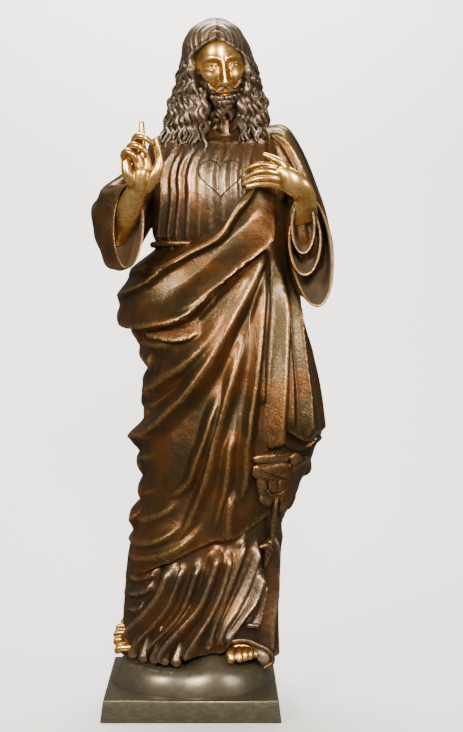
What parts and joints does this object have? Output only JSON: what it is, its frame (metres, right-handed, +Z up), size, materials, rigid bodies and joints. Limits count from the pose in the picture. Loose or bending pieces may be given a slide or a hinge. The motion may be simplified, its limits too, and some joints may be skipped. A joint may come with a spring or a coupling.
{
  "type": "religious statue",
  "caption": "Standing cast bronze figure of a robed, bearded man, one hand raised and one laid on the chest, on a low square plinth.",
  "frame": {"origin": "centre of the plinth's underside", "axes": "+Z up, -Y is the side the figure faces, +X is the figure's own left"},
  "size_m": [0.5417, 0.3877, 1.6],
  "materials": {
    "bronze": "dark brown bronze patina with rusty mid-tones, rubbed golden on ridges, hands, face and feet",
    "plinth_bronze": "satin olive grey-brown bronze patina"
  },
  "bodies": {
    "root": {"figure": "bronze", "plinth": "plinth_bronze"}
  },
  "joints": []
}
